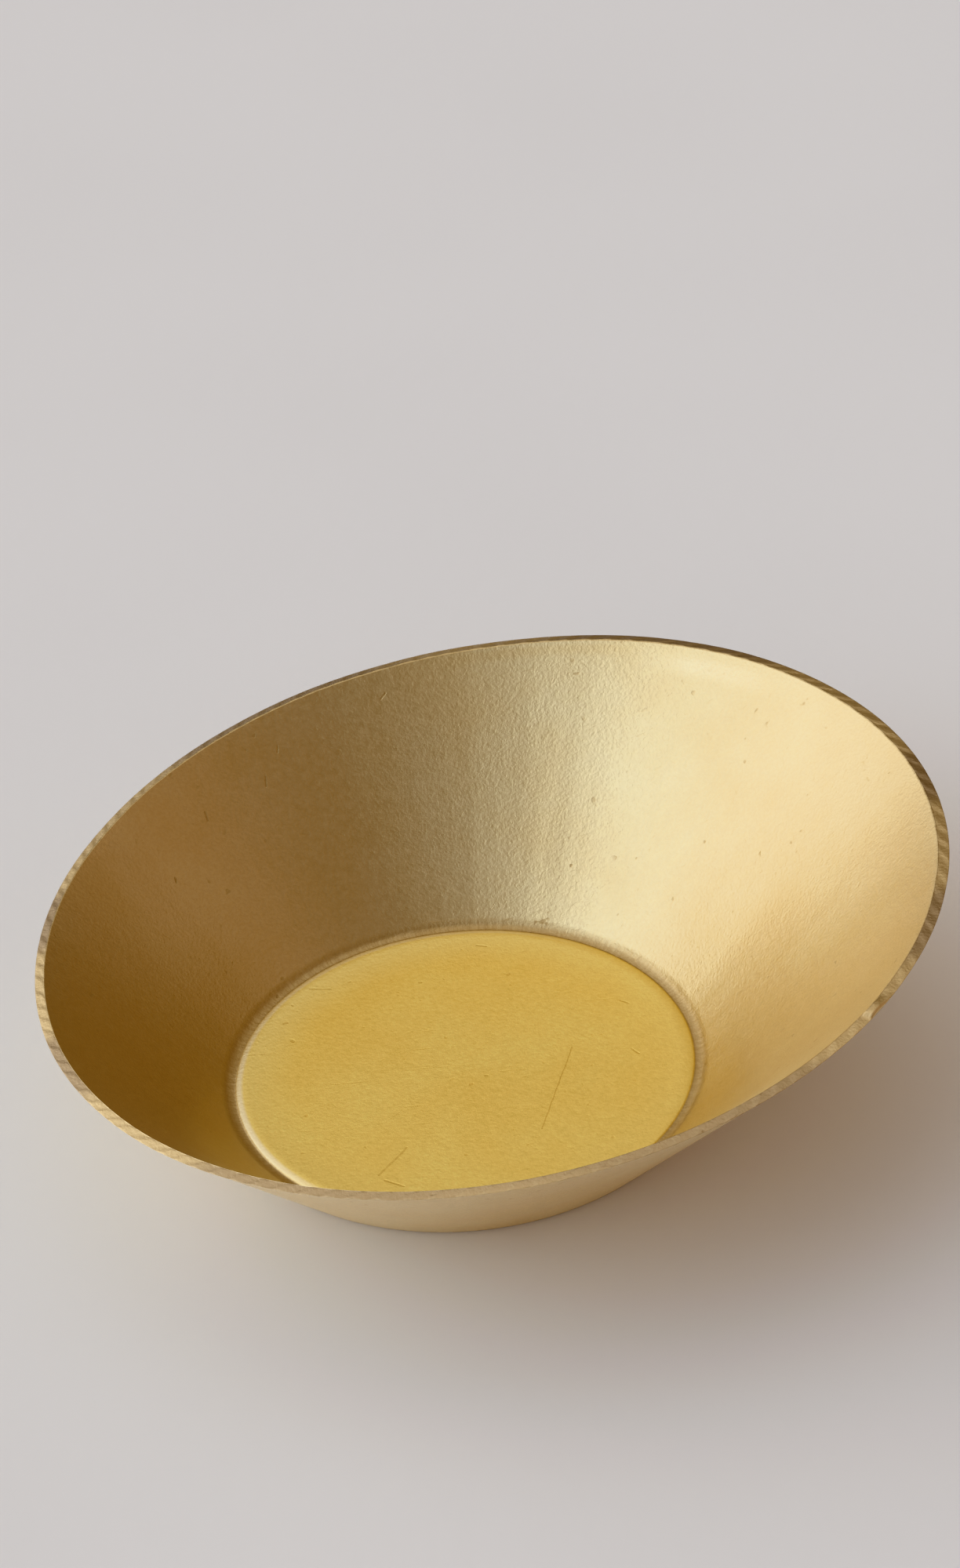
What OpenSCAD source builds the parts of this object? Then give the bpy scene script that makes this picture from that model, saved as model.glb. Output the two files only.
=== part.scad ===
// Small drawn cup of raw brass sheet: a flat round floor, a tight inside corner and a straight flared
// wall, trimmed by a shear that left the rim a few degrees out of level.
// Millimetres, +Z up. The origin is the centre of the base, on the surface that the cup stands on.
// The high side of the rim is towards +X.

/* [Cup] */
// Diameter across the outer edge of the rim, as it would be with no lean
rim_d = 30; // [26:1:40]
// Height of the rim's plane where it crosses the cup's axis
rim_h = 7.25; // [5:0.25:9]
// Slope of the wall, in degrees up from the table
wall_angle = 46.7; // [42:0.1:58]
// Thickness of the brass sheet
sheet_t = 0.28; // [0.2:0.02:0.4]

/* [Rim] */
// Lean of the trimmed rim out of level, in degrees
rim_lean = 5.3; // [0:0.1:8]

/* [Floor] */
// Radius of the inside corner, left by the nose of the punch
corner_in_r = 0.55; // [0.3:0.05:1]
// Radius of the outside corner, between the base and the wall
corner_out_r = 0.45; // [0.1:0.05:0.8]
// Depth of the fine groove that the punch left round the floor
groove_depth = 0.04; // [0.02:0.01:0.08]
// Width of the rounded edge over which the floor rolls down into the groove
roll_w = 0.4; // [0.2:0.05:0.8]

/* [Hidden] */

// Growth of the wall's radius for each millimetre of height
flare = 1 / tan(wall_angle);
// Width of the sheet measured along the table, where the sheet is cut at the wall's slope
wall_w = sheet_t / sin(wall_angle);
// Height of the bottom of the groove
groove_z = sheet_t - groove_depth;
// Where the two faces of the wall, carried on straight, would meet the base and the groove
foot_out_r = rim_d / 2 - rim_h * flare;
foot_in_r = foot_out_r - wall_w + groove_z * flare;
// Radius of the flat base, and of the floor out to the bottom of its groove
base_r = foot_out_r - corner_out_r * tan(wall_angle / 2);
floor_r = foot_in_r - corner_in_r * tan(wall_angle / 2);
// The drawn shell stands this tall before the shear trims it, clear of the rim's high side
trim_allowance = 1;
shell_h = rim_h + rim_d * tan(rim_lean) + trim_allowance;
// Steps in each rounded corner
corner_steps = 10;
corner_fn = 240;

// Radius of the wall's outer face at height z
function wall_out_r(z) = foot_out_r + z * flare;
// Radius of the wall's inner face at height z
function wall_in_r(z) = wall_out_r(z) - wall_w;

// Points of a corner that starts level at (r, z) and turns up to the slope of the wall
function corner(r, z, bend_r) = [
    for (i = [0 : corner_steps])
        let (a = wall_angle * i / corner_steps)
            [r + bend_r * sin(a), z + bend_r * (1 - cos(a))]
];

// Points of the floor's rounded edge, from the flat floor down towards the bottom of the groove, which
// is the first point of the inside corner
function floor_roll() = [
    for (i = [0 : corner_steps - 1])
        let (a = 90 * i / corner_steps)
            [floor_r - roll_w * (1 - sin(a)), groove_z + groove_depth * cos(a)]
];

// Half section of the untrimmed shell: up the outside, then back down the inside to the axis
function shell_section() = concat(
    [[0, 0]],
    corner(base_r, 0, corner_out_r),
    [[wall_out_r(shell_h), shell_h], [wall_in_r(shell_h), shell_h]],
    reversed(corner(floor_r, groove_z, corner_in_r)),
    reversed(floor_roll()),
    [[0, sheet_t]]
);

// The same points, last one first
function reversed(points) = [for (i = [len(points) - 1 : -1 : 0]) points[i]];

// Everything above the leaning plane that the shear cuts along
module above_rim() {
    reach = rim_d * 2;
    translate([0, 0, rim_h])
        rotate([0, -rim_lean, 0])
            translate([-reach, -reach, 0])
                cube([reach * 2, reach * 2, reach]);
}

// The whole cup, one sheet from the middle of its floor to its rim
module cup() {
    color("goldenrod")
        difference() {
            rotate_extrude($fn = corner_fn)
                polygon(shell_section());
            above_rim();
        }
}

cup();
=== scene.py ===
import math

import bpy
from mathutils import Euler, Matrix, Vector


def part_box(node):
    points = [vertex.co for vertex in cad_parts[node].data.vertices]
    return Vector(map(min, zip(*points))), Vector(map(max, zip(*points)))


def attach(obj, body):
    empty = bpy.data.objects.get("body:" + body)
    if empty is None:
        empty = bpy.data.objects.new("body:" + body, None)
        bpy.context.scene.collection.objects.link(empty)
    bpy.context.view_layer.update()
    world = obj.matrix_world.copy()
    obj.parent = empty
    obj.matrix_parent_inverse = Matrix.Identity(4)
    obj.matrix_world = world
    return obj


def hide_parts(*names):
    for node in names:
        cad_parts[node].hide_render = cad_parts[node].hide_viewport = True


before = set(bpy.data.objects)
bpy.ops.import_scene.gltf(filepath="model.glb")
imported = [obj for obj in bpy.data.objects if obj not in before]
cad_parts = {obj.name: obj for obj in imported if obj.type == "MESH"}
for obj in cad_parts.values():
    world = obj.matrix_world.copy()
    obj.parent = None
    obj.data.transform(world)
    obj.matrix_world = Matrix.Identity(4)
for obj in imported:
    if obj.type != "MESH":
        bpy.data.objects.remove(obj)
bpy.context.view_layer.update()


# ---- the cup ----
# One disc of thin brass sheet, pushed through a die into a flat-floored cup with a straight flared
# wall, then sheared off at the rim. The shear ran a few degrees out of level, so one side stands
# higher. It was tumbled but never polished, so the skin is satin, with a fine grain all over.
MM = 0.001
RIM_HEIGHT = 7.25 * MM
WALL_ANGLE = math.radians(46.7)
SHEET = 0.28 * MM
RIM_LEAN = math.radians(5.3)
CORNER_IN = 0.55 * MM
CORNER_OUT = 0.45 * MM
GROOVE_DEPTH = 0.04 * MM
ROLL_WIDTH = 0.4 * MM
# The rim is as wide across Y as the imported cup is, and the lean stretches that a little
cup_low, cup_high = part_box("cup")
FLARE = 1 / math.tan(WALL_ANGLE)
LEAN = math.tan(RIM_LEAN)
RIM_RADIUS = (cup_high.y - cup_low.y) / 2 * math.sqrt(1 - (FLARE * LEAN) ** 2)
# Where the two faces of the wall would meet the table, and the corners that they start from
FOOT_OUT = RIM_RADIUS - RIM_HEIGHT * FLARE
FOOT_IN = FOOT_OUT - SHEET / math.sin(WALL_ANGLE)
GROOVE_Z = SHEET - GROOVE_DEPTH
FLOOR_RADIUS = FOOT_IN + GROOVE_Z * FLARE - CORNER_IN * math.tan(WALL_ANGLE / 2)
BASE_RADIUS = FOOT_OUT - CORNER_OUT * math.tan(WALL_ANGLE / 2)
# Quads in one turn of the cup. The facets of the cut are about ten of them long
AROUND = 1080
FACETS = 112
FACET_SLANT = 0.45
FACET_RISE = 0.7
FACET_JITTER = 2
BURR_AT = math.radians(-35)
BURR_SPAN = math.radians(2.4)
# Reach of the circles that noise is read along: small for the slow wander, larger for the facets
WANDER_REACH = 1.1
FACET_REACH = 5.0
NOISE_SLICE = 3.7
# The higher these are, the later the floor turns up and the tighter the corners of the cut edge are
DISH_POWER = 9
EDGE_POWER = 4
WELD = 0.0001 * MM
DENTS_PER_METRE = 220.0


class Wire:
    """One socket of a node tree. Plain arithmetic on it adds Math nodes."""

    def __init__(self, tree, socket):
        self.tree = tree
        self.socket = socket

    @staticmethod
    def node(tree, kind, settings, sockets, out=0):
        """Adds a node, sets it up, feeds its sockets and gives back one of its outputs, if it has any."""
        made = tree.nodes.new(kind)
        for name, value in settings.items():
            setattr(made, name, value)
        for name, value in sockets.items():
            if isinstance(value, Wire):
                tree.links.new(value.socket, made.inputs[name])
            else:
                made.inputs[name].default_value = value
        return Wire(tree, made.outputs[out]) if made.outputs else None

    def math(self, operation, *values, clamp=False):
        settings = {"operation": operation, "use_clamp": clamp}
        return self.node(self.tree, "ShaderNodeMath", settings, dict(enumerate(values)))

    def __add__(self, other):
        return self.math("ADD", self, other)

    def __radd__(self, other):
        return self.math("ADD", other, self)

    def __sub__(self, other):
        return self.math("SUBTRACT", self, other)

    def __rsub__(self, other):
        return self.math("SUBTRACT", other, self)

    def __mul__(self, other):
        return self.math("MULTIPLY", self, other)

    def __rmul__(self, other):
        return self.math("MULTIPLY", other, self)

    def __truediv__(self, other):
        return self.math("DIVIDE", self, other)

    def __pow__(self, other):
        return self.math("POWER", self, other)

    def sin(self):
        return self.math("SINE", self)

    def cos(self):
        return self.math("COSINE", self)

    def fraction(self):
        return self.math("FRACT", self)

    def clamped(self):
        return self.math("ADD", self, 0, clamp=True)

    def ramp(self, low, high):
        """0 at low and 1 at high, with an eased rise between; low may be the larger."""
        sockets = {"Value": self, "From Min": low, "From Max": high}
        return self.node(self.tree, "ShaderNodeMapRange", {"interpolation_type": "SMOOTHSTEP"}, sockets)

    def parts(self):
        """The X, Y and Z of a vector."""
        split = self.node(self.tree, "ShaderNodeSeparateXYZ", {}, {"Vector": self}).socket.node
        return [Wire(self.tree, output) for output in split.outputs]


def vector_of(tree, x, y, z):
    return Wire.node(tree, "ShaderNodeCombineXYZ", {}, {"X": x, "Y": y, "Z": z})


def noise(vector, scale, detail=2.0, roughness=0.5):
    """Cloudy noise about 0.5, of that many cells to one unit of the vector."""
    sockets = {"Vector": vector, "Scale": scale, "Detail": detail, "Roughness": roughness}
    return Wire.node(vector.tree, "ShaderNodeTexNoise", {"noise_dimensions": "3D"}, sockets)


tree = bpy.data.node_groups.new("drawn_cup", "GeometryNodeTree")
tree.interface.new_socket("Geometry", in_out="OUTPUT", socket_type="NodeSocketGeometry")
cup_sizes = {
    "Rim Height": RIM_HEIGHT,
    "Sheet": SHEET,
    "Flare": FLARE,
    "Lean": LEAN,
    "Foot In": FOOT_IN,
    "Foot Out": FOOT_OUT,
    "Floor Radius": FLOOR_RADIUS,
    "Base Radius": BASE_RADIUS,
    "Corner In": CORNER_IN,
    "Corner Out": CORNER_OUT,
    "Groove Depth": GROOVE_DEPTH,
    "Roll Width": ROLL_WIDTH,
    "Floor Dish": 0.03 * MM,
    "Lip Width": 1.0 * MM,
    "Lip Drop": 0.03 * MM,
    "Edge Lean": 0.06 * MM,
    "Edge Crown": 0.015 * MM,
    "Facet Depth": 0.025 * MM,
    "Shear Wander": 0.12 * MM,
    "Burr Height": 0.09 * MM,
    "Wall Dents": 0.05 * MM,
}
for name in cup_sizes:
    tree.interface.new_socket(name, in_out="INPUT", socket_type="NodeSocketFloat")
sizes = tree.nodes.new("NodeGroupInput")
size = {name: Wire(tree, sizes.outputs[name]) for name in cup_sizes}
groove_z = size["Sheet"] - size["Groove Depth"]


def band(rings, place, skin=None):
    """One band of the cup's skin. place(t, turn) gives its radius, height and facet tone, with t going
    from 0 to 1 along the section, and skin names the attribute that marks the band, if it has one."""
    counts = {"Size X": 1.0, "Size Y": 1.0, "Vertices X": rings + 1, "Vertices Y": AROUND + 1}
    grid = Wire.node(tree, "GeometryNodeMeshGrid", {}, counts)
    along, across, _ = Wire.node(tree, "GeometryNodeInputPosition", {}, {}).parts()
    # The outside is laid from the rim down, so that all of the skin faces away from the brass
    t = 0.5 - along if skin == "outside" else along + 0.5
    turn = (across + 0.5) * math.tau
    radius, height, facet = place(t, turn)
    target = vector_of(tree, radius * turn.cos(), radius * turn.sin(), height)
    bent = Wire.node(tree, "GeometryNodeSetPosition", {}, {"Geometry": grid, "Position": target})
    marks = {"cut": float(skin == "cut"), "outside": float(skin == "outside"), "facet": facet}
    for name, value in marks.items():
        settings = {"data_type": "FLOAT", "domain": "POINT"}
        sockets = {"Geometry": bent, "Name": name, "Value": value}
        bent = Wire.node(tree, "GeometryNodeStoreNamedAttribute", settings, sockets)
    return bent


def floor_disc(t, turn):
    """The flat of the floor, which turns up by a hair at its edge, where the punch pinched it."""
    eased = 1 - (1 - t) * (1 - t)
    radius = (size["Floor Radius"] - size["Roll Width"]) * eased
    return radius, size["Sheet"] + size["Floor Dish"] * eased ** DISH_POWER, 0.0


def floor_roll(t, turn):
    a = t * (math.pi / 2)
    radius = size["Floor Radius"] - size["Roll Width"] * (1 - a.sin())
    return radius, groove_z + (size["Groove Depth"] + size["Floor Dish"]) * a.cos(), 0.0


def corner_inside(t, turn):
    a = t * WALL_ANGLE
    radius = size["Floor Radius"] + size["Corner In"] * a.sin()
    return radius, groove_z + size["Corner In"] * (1 - a.cos()), 0.0


def corner_outside(t, turn):
    a = t * WALL_ANGLE
    return size["Base Radius"] + size["Corner Out"] * a.sin(), size["Corner Out"] * (1 - a.cos()), 0.0


def base_disc(t, turn):
    return size["Base Radius"] * t, 0 * t, 0.0


def ring_point(turn, reach):
    """A point on a circle, so that noise read there joins up with itself after a full turn."""
    return vector_of(tree, turn.cos() * reach, turn.sin() * reach, NOISE_SLICE)


def rim_end(foot, turn, lift):
    """The end of a face of the wall at the shear, which wandered up and down a little as it ran.
    lift raises it along the table's normal."""
    wander = (noise(ring_point(turn, WANDER_REACH), 1.0) - 0.5) * size["Shear Wander"]
    level = size["Rim Height"] + lift + wander
    radius = (foot + level * size["Flare"]) / (1 - size["Flare"] * size["Lean"] * turn.cos())
    return radius, level + radius * turn.cos() * size["Lean"]


def lip_bend(radius, height, from_rim):
    """Bends the last stretch under the rim outwards a little, as the mouth of the die left it."""
    near = (1 - from_rim / size["Lip Width"]).clamped()
    drop = size["Lip Drop"] * near * near
    return radius + drop * math.sin(WALL_ANGLE), height - drop * math.cos(WALL_ANGLE)


def wall(corner, foot, lift):
    """A straight face of the wall from its corner up to the rim, with its rings closer near the rim."""

    def place(t, turn):
        start = corner(t * 0 + 1, turn)
        end = rim_end(foot, turn, lift)
        eased = 1 - (1 - t) * (1 - t)
        radius = start[0] + (end[0] - start[0]) * eased
        height = start[1] + (end[1] - start[1]) * eased
        from_rim = (end[1] - height) / math.sin(WALL_ANGLE)
        return *lip_bend(radius, height, from_rim), 0.0

    return place


def cut_edge(t, turn):
    """The sheared edge, from the inside of the rim to the outside. The shear left slanted facets
    across it and a small burr where it ended, and tumbling took the sharpness off both its corners."""
    inner = lip_bend(*rim_end(size["Foot In"], turn, size["Edge Lean"]), 0 * turn)
    outer = lip_bend(*rim_end(size["Foot Out"], turn, 0.0), 0 * turn)
    spread = 0.5 - 0.5 * (t * math.pi).cos()
    radius = inner[0] + (outer[0] - inner[0]) * spread
    height = inner[1] + (outer[1] - inner[1]) * spread
    uneven = noise(ring_point(turn, FACET_REACH), 1.0, detail=3.0)
    step = (turn * (FACETS / math.tau) + spread * FACET_SLANT + uneven * FACET_JITTER).fraction()
    facet = step.math("MINIMUM", step * (1 / FACET_RISE), (1 - step) * (1 / (1 - FACET_RISE)))
    broken = 4 * spread * (1 - spread)
    body = 1 - (1 - broken) ** EDGE_POWER
    off = (turn - (BURR_AT + math.tau)) * (1 / BURR_SPAN)
    burr = size["Burr Height"] * off.ramp(-1.0, -0.75) * off.ramp(1.0, -0.2)
    lift = size["Edge Crown"] + burr - facet * size["Facet Depth"]
    patchy = uneven.ramp(0.35, 0.6) * 0.7 + 0.3
    # The tone marks the steep face of each facet, which the skin paints darker as painted shade
    tone = step.ramp(0.45, 0.6) * step.ramp(1.0, 0.9) * patchy
    return radius, height + body * lift, tone


bands = [
    band(10, floor_disc),
    band(8, floor_roll),
    band(8, corner_inside),
    band(14, wall(corner_inside, size["Foot In"], size["Edge Lean"])),
    band(8, cut_edge, "cut"),
    band(9, wall(corner_outside, size["Foot Out"], 0.0), "outside"),
    band(5, corner_outside, "outside"),
    band(3, base_disc, "outside"),
]
join = tree.nodes.new("GeometryNodeJoinGeometry")
for piece in bands:
    tree.links.new(piece.socket, join.inputs["Geometry"])
merged = {"Geometry": Wire(tree, join.outputs[0]), "Distance": WELD}
shell = Wire.node(tree, "GeometryNodeMergeByDistance", {}, merged)
# The wall is not quite round: the sheet sprang back unevenly, more so towards the rim
spot = Wire.node(tree, "GeometryNodeInputPosition", {}, {})
east, north, up = spot.parts()
rise = (up * (1 / RIM_HEIGHT)).ramp(0.1, 1.0)
push = (noise(spot, DENTS_PER_METRE, detail=1.0) - 0.5) * size["Wall Dents"] * rise * (1 / RIM_RADIUS)
dent = vector_of(tree, east * push, north * push, 0.0)
shell = Wire.node(tree, "GeometryNodeSetPosition", {}, {"Geometry": shell, "Offset": dent})
shell = Wire.node(tree, "GeometryNodeSetShadeSmooth", {}, {"Geometry": shell})
brass = bpy.data.materials.new("raw_brass")
shell = Wire.node(tree, "GeometryNodeRealizeInstances", {}, {"Geometry": shell})
shell = Wire.node(tree, "GeometryNodeSetMaterial", {}, {"Geometry": shell, "Material": brass})
tree.links.new(shell.socket, tree.nodes.new("NodeGroupOutput").inputs["Geometry"])

carrier = bpy.data.objects.new("cup_carrier", bpy.data.meshes.new("cup_carrier"))
bpy.context.scene.collection.objects.link(carrier)
modifier = carrier.modifiers.new("drawn_cup", "NODES")
modifier.node_group = tree
for socket in tree.interface.items_tree:
    if socket.in_out == "INPUT":
        modifier[socket.identifier] = cup_sizes[socket.name]
bpy.context.view_layer.update()
seen = carrier.evaluated_get(bpy.context.evaluated_depsgraph_get())
cup_mesh = bpy.data.meshes.new_from_object(seen)
cup_mesh.name = "brass_cup"
cup_mesh.materials.clear()
cup_mesh.materials.append(brass)
bpy.data.objects.remove(carrier)
cup = bpy.data.objects.new("brass_cup", cup_mesh)
bpy.context.scene.collection.objects.link(cup)

# The skin: raw cartridge brass, a little browner where fingers and the tumbling drum left it.
# One brass in lit and shaded copies: the inner wall is painted darker and the floor and the outside
# lighter, as painted shade and painted light; the floor's yellower tone is partly its own.
WALL_BRASS_SHADED = (0.65, 0.505, 0.265, 1.0)
FLOOR_BRASS_LIT = (1.0, 0.77, 0.25, 1.0)
OUTER_BRASS_LIT = (0.95, 0.78, 0.47, 1.0)
FLOOR_EDGE_HIGHLIGHT = (1.0, 0.85, 0.37, 1.0)
EDGE_LINE_HIGHLIGHT = (1.0, 0.92, 0.70, 1.0)
DEEP_TINT = (0.96, 0.92, 0.86, 1.0)
PALE_TINT = (1.06, 1.08, 1.16, 1.0)
BROWN_TINT = (0.62, 0.52, 0.42, 1.0)
CUT_LIGHT = (0.66, 0.50, 0.27, 1.0)
CUT_SHADED_FACE = (0.42, 0.31, 0.19, 1.0)
# Cells of each texture to a millimetre
FINE_CELLS = 9.0
GRAIN_CELLS = 4.2
PEEL_CELLS = 1.6
CLOUD_CELLS = 0.22
PIT_CELLS = 3.1
PIT_PATCH_CELLS = 0.7
# and to a radian round the cup, for those that run up the wall
RADIAL_CELLS = 80.0
DRAWN_CELLS = 34.0
WAVE_CELLS = 4.5
RELIEF = 0.022 * MM

brass.use_nodes = True
skin = brass.node_tree
skin.nodes.clear()


def mix(factor, first, second, how="MIX"):
    """Blends two colours on the brass skin."""
    settings = {"data_type": "RGBA", "blend_type": how}
    return Wire.node(skin, "ShaderNodeMix", settings, {0: factor, 6: first, 7: second}, out=2)


def attribute(name):
    return Wire.node(skin, "ShaderNodeAttribute", {"attribute_name": name}, {}, out="Fac")


def stretched(x, y, z):
    """The place on the skin, in mm, drawn out along an axis by a small factor on it."""
    return vector_of(skin, in_mm[0] * x, in_mm[1] * y, in_mm[2] * z)


def stroke(across, along, start, end, half_width):
    """1 along a short straight scratch from start to end, and 0 away from it."""
    run = Vector(end) - Vector(start)
    u, v = across - start[0], along - start[1]
    t = ((u * run.x + v * run.y) * (1 / run.length_squared)).clamped()
    off_u, off_v = u - t * run.x, v - t * run.y
    return ((off_u * off_u + off_v * off_v) ** 0.5).ramp(half_width, half_width * 0.3)


def most(values):
    total = values[0]
    for value in values[1:]:
        total = total.math("MAXIMUM", total, value)
    return total


place = Wire.node(skin, "ShaderNodeTexCoord", {}, {}, out="Object")
in_mm = [part * (1 / MM) for part in place.parts()]
x, y, z = in_mm
point = stretched(1, 1, 1)
radius = (x * x + y * y) ** 0.5
turn = x.math("ARCTAN2", y, x)
heading = vector_of(skin, x / radius, y / radius, z * 0.02)
below_rim = (x * LEAN - z + RIM_HEIGHT / MM) * (1 / math.sin(WALL_ANGLE))
cut = attribute("cut")
outside = attribute("outside")
facet = attribute("facet")
inside = (1 - cut - outside).clamped()
floor_mm = FLOOR_RADIUS / MM


def past_floor(low, high):
    """A ramp from 0 at low to 1 at high, both in mm out from the floor's edge."""
    return radius.ramp(floor_mm + low, floor_mm + high)


floor = inside * past_floor(0.02, -0.02)
corner = inside * past_floor(-0.06, 0.04) * past_floor(0.5, 0.3)
walls = inside * past_floor(0.25, 0.5)

# Grain of the tumbled finish, in three sizes, and sparse dark pits
fine = noise(point, FINE_CELLS, detail=2.0, roughness=0.6)
grain = noise(point, GRAIN_CELLS, detail=3.0, roughness=0.6)
peel = noise(point, PEEL_CELLS, detail=2.0)
clouds = noise(point, CLOUD_CELLS, detail=3.0, roughness=0.55)
pits = noise(point, PIT_CELLS, detail=1.0).ramp(0.70, 0.78)
pits = pits * noise(point, PIT_PATCH_CELLS).ramp(0.45, 0.65)
# Streaks that the die drew up the wall, and the punch's fine radial marks in the inside corner
drawn = noise(heading, DRAWN_CELLS, detail=3.0, roughness=0.6)
radial = noise(heading, RADIAL_CELLS, detail=2.0, roughness=0.7)
# Shallow waves round the wall, where the sheet wanted to pucker as it was drawn in
waves = noise(heading, WAVE_CELLS, detail=2.0)
# Handling scratches, hair-thin, in two directions
hair = most([
    noise(stretched(0.35, 8, 3), 1.0, detail=1.0).ramp(0.72, 0.80),
    noise(vector_of(skin, (x + y) * 0.3, (x - y) * 6.0, z * 3), 1.0, detail=1.0).ramp(0.74, 0.82),
])

# The marks that this cup has picked up, on its floor in mm from its middle
wobble = (peel - 0.5) * 0.12
floor_marks = [
    ((3.7, 0.6), (2.4, -3.6), 0.035),
    ((-2.1, -3.9), (-3.1, -5.2), 0.05),
    ((-2.9, -5.5), (-2.3, -5.9), 0.06),
    ((0.8, 6.8), (1.1, 6.7), 0.06),
    ((-5.1, 5.2), (-4.4, 5.1), 0.05),
    ((5.5, 2.9), (5.8, 2.7), 0.05),
    ((5.7, 0.2), (5.9, -0.1), 0.05),
    ((-5.8, 2.4), (-5.75, 2.35), 0.09),
    ((-1.3, 5.0), (-1.25, 5.0), 0.08),
    ((0.7, -0.5), (0.75, -0.5), 0.07),
]
scored = floor * most([stroke(x + wobble, y, *mark) for mark in floor_marks])
# and on its wall, in mm round the rim from the high side and in mm down from the rim
rim_mm = RIM_RADIUS / MM
wall_marks = [
    ((31.0, 2.0), (31.15, 2.3), 0.07),
    ((30.0, 1.2), (30.1, 1.4), 0.05),
    ((25.3, 0.8), (25.5, 0.95), 0.06),
    ((34.2, 1.9), (34.3, 2.2), 0.06),
    ((37.4, 3.0), (37.5, 3.15), 0.06),
]
nicked = walls * most([stroke(turn * rim_mm, below_rim + wobble, *mark) for mark in wall_marks])
# Painted highlight: the floor's edge is painted paler, the back edge most, where it catches the light;
# the punch also left it smoother there
far_side = (y * 0.87 - x * 0.5).ramp(0.0, floor_mm)
burnish_and_highlight = floor * past_floor(-2.2, -0.3) * (far_side * 0.8 + 0.2)
# Painted highlight: a thin pale line on the floor's rounded edge, on the side away from the rim's high
# side, where that edge catches the light
low_side = (y * 0.5 - x * 0.87).ramp(-2.0, 5.0)
edge_line_highlight = inside * past_floor(-0.30, -0.15) * past_floor(0.05, -0.05) * low_side
# Under the rim, painted reflections: one stretch at the back painted warmer and darker, and one stretch
# towards the right painted paler as a highlight, which is also made smoother
lip_reflection_band = walls * below_rim.ramp(0.05, 0.2) * below_rim.ramp(0.6, 0.3)
lip_reflection_band = lip_reflection_band * turn.ramp(1.0, 1.2) * turn.ramp(1.6, 1.4)
lip_highlight = walls * below_rim.ramp(0.1, 0.5) * below_rim.ramp(1.1, 0.6)
lip_highlight = lip_highlight * turn.ramp(0.65, 0.8) * turn.ramp(1.05, 0.9)
# Handling polished the tops of the grain on a short stretch near the rim's low side
rubbed = walls * below_rim.ramp(0.5, 0.1) * fine.ramp(0.45, 0.6)
rubbed = rubbed * turn.ramp(2.45, 2.6) * turn.ramp(2.75, 2.65)

# Painted light and shade: the floor and the outside get a lighter copy of the brass, the inner wall a
# darker one
colour = mix(outside, mix(floor, WALL_BRASS_SHADED, FLOOR_BRASS_LIT), OUTER_BRASS_LIT)
colour = mix(clouds.ramp(0.3, 0.7), colour, DEEP_TINT, "MULTIPLY")
colour = mix((grain - 0.5) * 1.6 + 0.4, colour, PALE_TINT, "MULTIPLY")
brown = fine.ramp(0.62, 0.40) * 0.10 + walls * drawn.ramp(0.5, 0.8) * 0.05
colour = mix(brown, colour, BROWN_TINT, "MULTIPLY")
# Painted highlight on the floor's edge, strongest at the back
colour = mix(burnish_and_highlight * 0.7, colour, FLOOR_EDGE_HIGHLIGHT)
# Painted highlight: a thin pale line along the floor's edge
colour = mix(edge_line_highlight * 0.7, colour, EDGE_LINE_HIGHLIGHT)
# Painted shade: the inside corner is darkened all round, more or less along the punch's radial marks
colour = mix(corner * (radial.ramp(0.75, 0.35) * 0.25 + 0.3), colour, BROWN_TINT, "MULTIPLY")
# Painted reflection under the rim: a warmer, darker band at the back and a paler highlight patch to its
# right
colour = mix(lip_reflection_band * 0.8, colour, DEEP_TINT, "MULTIPLY")
colour = mix(lip_highlight * 0.6, colour, PALE_TINT, "MULTIPLY")
# Painted shade: the steep face of each facet of the cut gets the darker colour
colour = mix(cut, colour, mix(facet, CUT_LIGHT, CUT_SHADED_FACE))
colour = mix(pits * 0.4, colour, BROWN_TINT, "MULTIPLY")
colour = mix(hair * 0.12 + scored * 0.35 + nicked * 0.5, colour, BROWN_TINT, "MULTIPLY")

rough = 0.38 + (grain - 0.5) * 0.20 + (clouds - 0.5) * 0.08 + floor * 0.04 + corner * 0.08
rough = rough - burnish_and_highlight * 0.07 - rubbed * 0.18 - lip_highlight * 0.08
rough = rough - cut * 0.06 + outside * 0.02 + pits * 0.15

height = (grain * 0.45 + fine * 0.65) * (1 - floor * 0.4) + peel * 0.08
height = height - pits * 0.3 - hair * 0.15 - scored * 0.3 - nicked * 0.4
height = height + corner * (radial - 0.5) * 0.35 + walls * ((drawn - 0.5) * 0.1 + waves * 2.5)
relief = {"Strength": 1.0, "Distance": RELIEF, "Height": height}
normal = Wire.node(skin, "ShaderNodeBump", {}, relief)
surface = {
    "Base Color": colour,
    "Metallic": 1.0,
    "Roughness": rough.clamped(),
    "Coat Weight": 0.15,
    "Coat Roughness": 0.45,
    "Normal": normal,
}
shader = Wire.node(skin, "ShaderNodeBsdfPrincipled", {}, surface)
Wire.node(skin, "ShaderNodeOutputMaterial", {}, {"Surface": shader})

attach(cup, "root")
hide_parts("cup")


# ---- the table ----
# Not part of the cup: a sheet of thick matt paper, pale and very slightly warm, that it stands on.
TABLE_REACH = 1.2
FIBRES_PER_METRE = 900.0
SHADES_PER_METRE = 40.0
TOOTH = 0.03 * MM
PAPER = (0.83, 0.815, 0.80, 1.0)
PAPER_SHADE = (0.815, 0.80, 0.785, 1.0)

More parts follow.
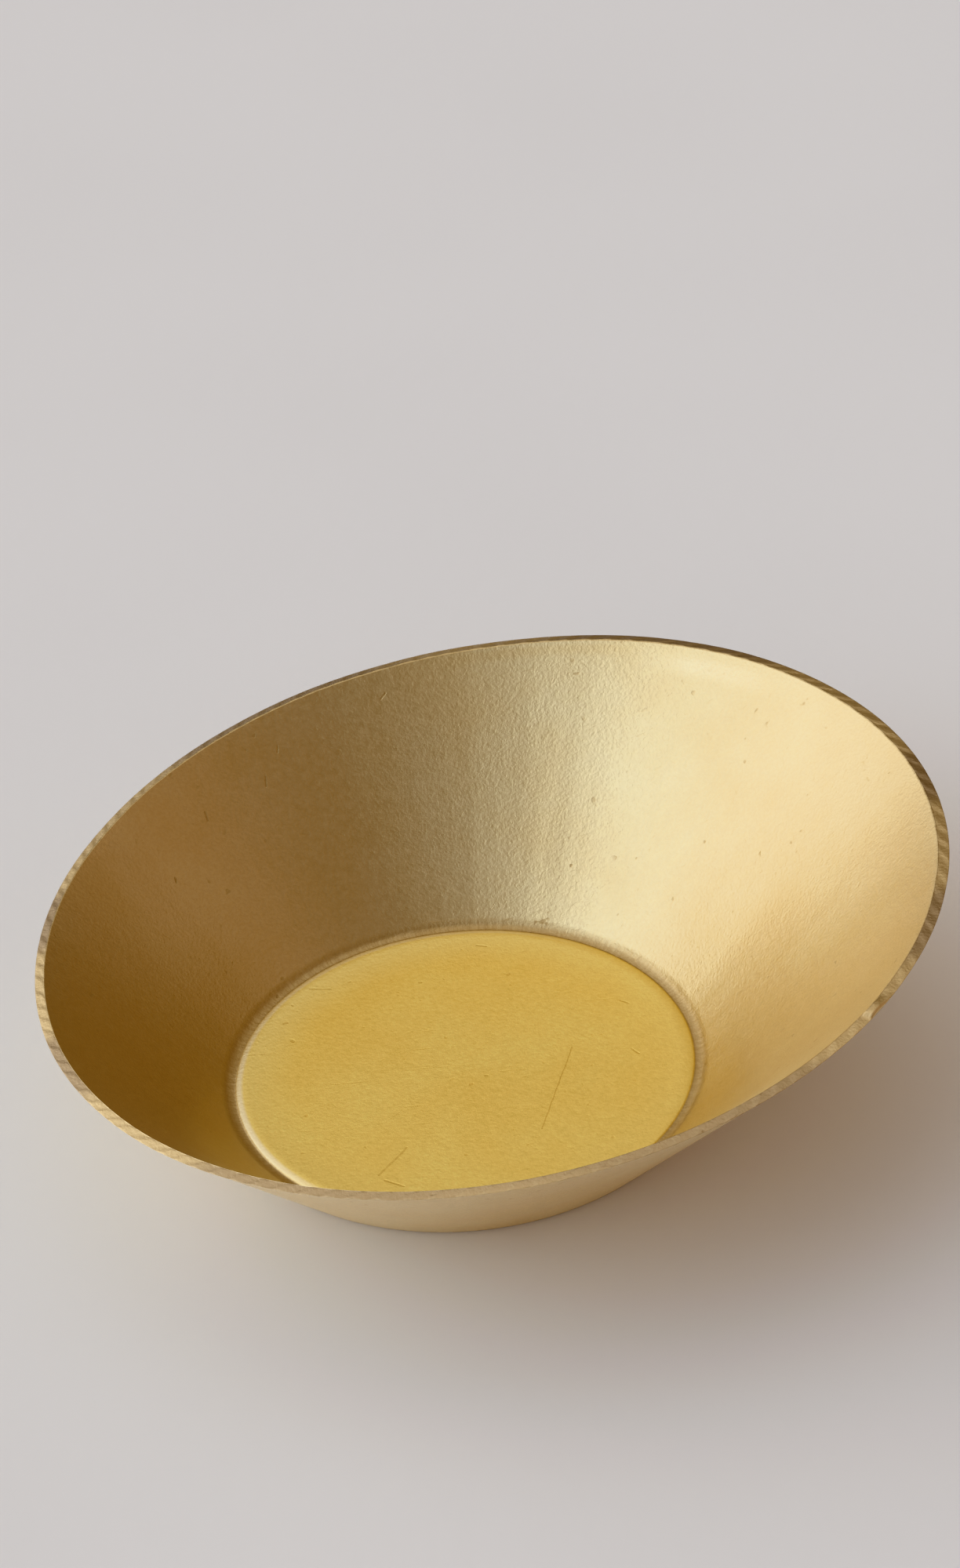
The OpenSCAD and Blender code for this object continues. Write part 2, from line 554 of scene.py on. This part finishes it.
corners = [(u * TABLE_REACH, v * TABLE_REACH, 0) for u, v in [(-1, -1), (1, -1), (1, 1), (-1, 1)]]
table_mesh = bpy.data.meshes.new("table")
table_mesh.from_pydata(corners, [], [(0, 1, 2, 3)])
table = bpy.data.objects.new("table", table_mesh)
bpy.context.scene.collection.objects.link(table)
paper = bpy.data.materials.new("matt_paper")
paper.use_nodes = True
sheet = paper.node_tree
sheet.nodes.clear()
spot = Wire.node(sheet, "ShaderNodeTexCoord", {}, {}, out="Object")
fibre = noise(spot, FIBRES_PER_METRE, detail=3.0, roughness=0.6)
shade = noise(spot, SHADES_PER_METRE, detail=2.0).ramp(0.3, 0.7)
tone = {0: shade, 6: PAPER, 7: PAPER_SHADE}
tone = Wire.node(sheet, "ShaderNodeMix", {"data_type": "RGBA"}, tone, out=2)
tooth = {"Strength": 0.3, "Distance": TOOTH, "Height": fibre}
tooth = Wire.node(sheet, "ShaderNodeBump", {}, tooth)
matt = {"Base Color": tone, "Roughness": 0.85, "Specular IOR Level": 0.2, "Normal": tooth}
matt = Wire.node(sheet, "ShaderNodeBsdfPrincipled", {}, matt)
Wire.node(sheet, "ShaderNodeOutputMaterial", {}, {"Surface": matt})
table_mesh.materials.append(paper)


# ---- the light ----
# Plain soft daylight, as in a pale room with a big window on the left: broad glows from a few
# directions that fade into each other. The camera sees the room itself as an even pale backdrop.
BACKDROP = (0.64, 0.62, 0.61, 1.0)
# What reaches the cup from every side, warmed by the room's own surfaces
ROOM_DIM = (0.095, 0.052, 0.026)
GLOWS = {
    # name: (azimuth from +X towards +Y, elevation, sharpness, strength, colour)
    "window": (203, 41, 16, 1.12, (0.73, 1.0, 1.38)),
    "window_spread": (203, 41, 3, 0.38, (1.0, 1.0, 0.97)),
    "curtain": (180, 20, 4, 1.06, (0.88, 1.0, 1.11)),
    "left_wall": (147, 18, 6, 1.30, (0.98, 1.0, 1.02)),
    "far_wall": (90, 35, 4, 0.12, (1.1, 1.0, 0.7)),
    "skylight": (90, 68, 8, 0.73, (1.0, 1.0, 0.98)),
    "near_wall": (270, 12, 6, 0.66, (0.98, 1.0, 1.08)),
    "right_wall": (0, 25, 3, 0.37, (1.18, 0.93, 0.80)),
}

world = bpy.data.worlds.new("pale_room")
world.use_nodes = True
air = world.node_tree
air.nodes.clear()
toward = Wire.node(air, "ShaderNodeTexCoord", {}, {}, out="Generated")
room = ROOM_DIM
for azimuth, elevation, sharpness, strength, colour in GLOWS.values():
    az, el = math.radians(azimuth), math.radians(elevation)
    aim = (math.cos(az) * math.cos(el), math.sin(az) * math.cos(el), math.sin(el))
    dot = {"operation": "DOT_PRODUCT"}
    facing = Wire.node(air, "ShaderNodeVectorMath", dot, {0: toward, 1: aim}, out="Value")
    lit = facing.math("MAXIMUM", facing, 0) ** sharpness * strength
    glow = Wire.node(air, "ShaderNodeVectorMath", {"operation": "SCALE"}, {0: colour, "Scale": lit})
    room = Wire.node(air, "ShaderNodeVectorMath", {"operation": "ADD"}, {0: room, 1: glow})
straight = Wire.node(air, "ShaderNodeLightPath", {}, {}, out="Is Camera Ray")
seen_room = {0: straight, 6: room, 7: BACKDROP}
seen_room = Wire.node(air, "ShaderNodeMix", {"data_type": "RGBA"}, seen_room, out=2)
glow = Wire.node(air, "ShaderNodeBackground", {}, {"Color": seen_room, "Strength": 1.0})
Wire.node(air, "ShaderNodeOutputWorld", {}, {"Surface": glow})
bpy.context.scene.world = world


# ---- the camera ----
# A close view from in front and above, with the camera rolled a little to the left.
VIEW_ELEVATION = math.radians(34.85)
VIEW_ROLL = math.radians(5.44)
VIEW_DISTANCE = 157.2 * MM
LENS = 106.8
AIM_RIGHT = 0.498 * MM
AIM_UP = 9.819 * MM

lens = bpy.data.cameras.new("camera")
lens.lens = LENS
lens.clip_start = 0.01
camera = bpy.data.objects.new("camera", lens)
bpy.context.scene.collection.objects.link(camera)
tilt = Euler((math.pi / 2 - VIEW_ELEVATION, 0, 0)).to_matrix()
turned = tilt @ Matrix.Rotation(-VIEW_ROLL, 3, "Z")
stand = turned @ Vector((AIM_RIGHT, AIM_UP, VIEW_DISTANCE))
camera.matrix_world = Matrix.Translation(stand) @ turned.to_4x4()
bpy.context.scene.camera = camera
bpy.context.scene.view_settings.view_transform = "Khronos PBR Neutral"
